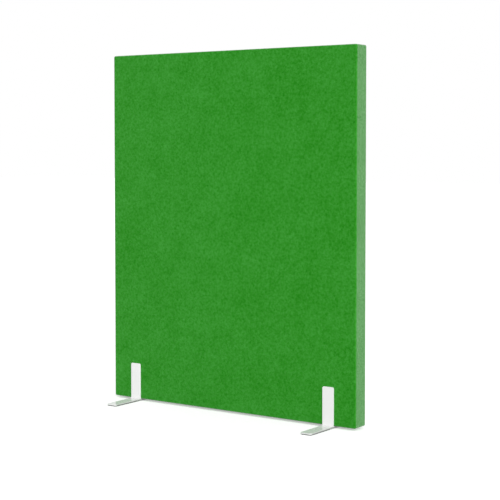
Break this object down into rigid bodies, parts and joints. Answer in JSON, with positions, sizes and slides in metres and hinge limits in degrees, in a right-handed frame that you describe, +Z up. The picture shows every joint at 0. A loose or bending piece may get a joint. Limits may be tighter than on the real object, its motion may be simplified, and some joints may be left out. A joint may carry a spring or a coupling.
{
  "type": "acoustic divider screen",
  "caption": "Free-standing acoustic divider screen: a felt-covered, timber-framed absorber panel held upright in slim white steel feet.",
  "frame": {"origin": "on the floor, under the middle of the panel", "axes": "+X along the panel's width, -Y out of its front face, +Z up"},
  "size_m": [1.2, 0.4, 1.458],
  "materials": {
    "cover_fabric": "felted melange",
    "wadding_felt": "needled fibre",
    "absorber_fibre": "bonded fibre slab",
    "frame_timber": "planed pine",
    "dowel_beech": "fluted beech",
    "white_lacquer": "gloss lacquer",
    "pad_rubber": "matt",
    "zinc_steel": "bright zinc",
    "yellow_zinc": "yellow passivated zinc"
  },
  "bodies": {
    "root": {"front_cover": "cover_fabric", "rear_cover": "cover_fabric", "left_cover_band": "cover_fabric", "right_cover_band": "cover_fabric", "top_cover_band": "cover_fabric", "bottom_cover_band": "cover_fabric", "cover_staples": "zinc_steel", "front_wadding": "wadding_felt", "rear_wadding": "wadding_felt", "upper_left_core": "absorber_fibre", "upper_right_core": "absorber_fibre", "lower_left_core": "absorber_fibre", "lower_right_core": "absorber_fibre", "frame_left_stile": "frame_timber", "frame_right_stile": "frame_timber", "frame_top_rail": "frame_timber", "frame_middle_rail": "frame_timber", "frame_bottom_rail": "frame_timber", "frame_mullion": "frame_timber", "left_corner_brace": "frame_timber", "right_corner_brace": "frame_timber", "left_foot_block": "frame_timber", "right_foot_block": "frame_timber", "frame_dowels": "dowel_beech", "frame_screws": "yellow_zinc", "threaded_inserts": "yellow_zinc", "foot_screws": "zinc_steel", "left_foot_plate": "white_lacquer", "left_front_upright": "white_lacquer", "left_rear_upright": "white_lacquer", "left_front_pad": "pad_rubber", "left_rear_pad": "pad_rubber", "right_foot_plate": "white_lacquer", "right_front_upright": "white_lacquer", "right_rear_upright": "white_lacquer", "right_front_pad": "pad_rubber", "right_rear_pad": "pad_rubber"}
  },
  "joints": []
}
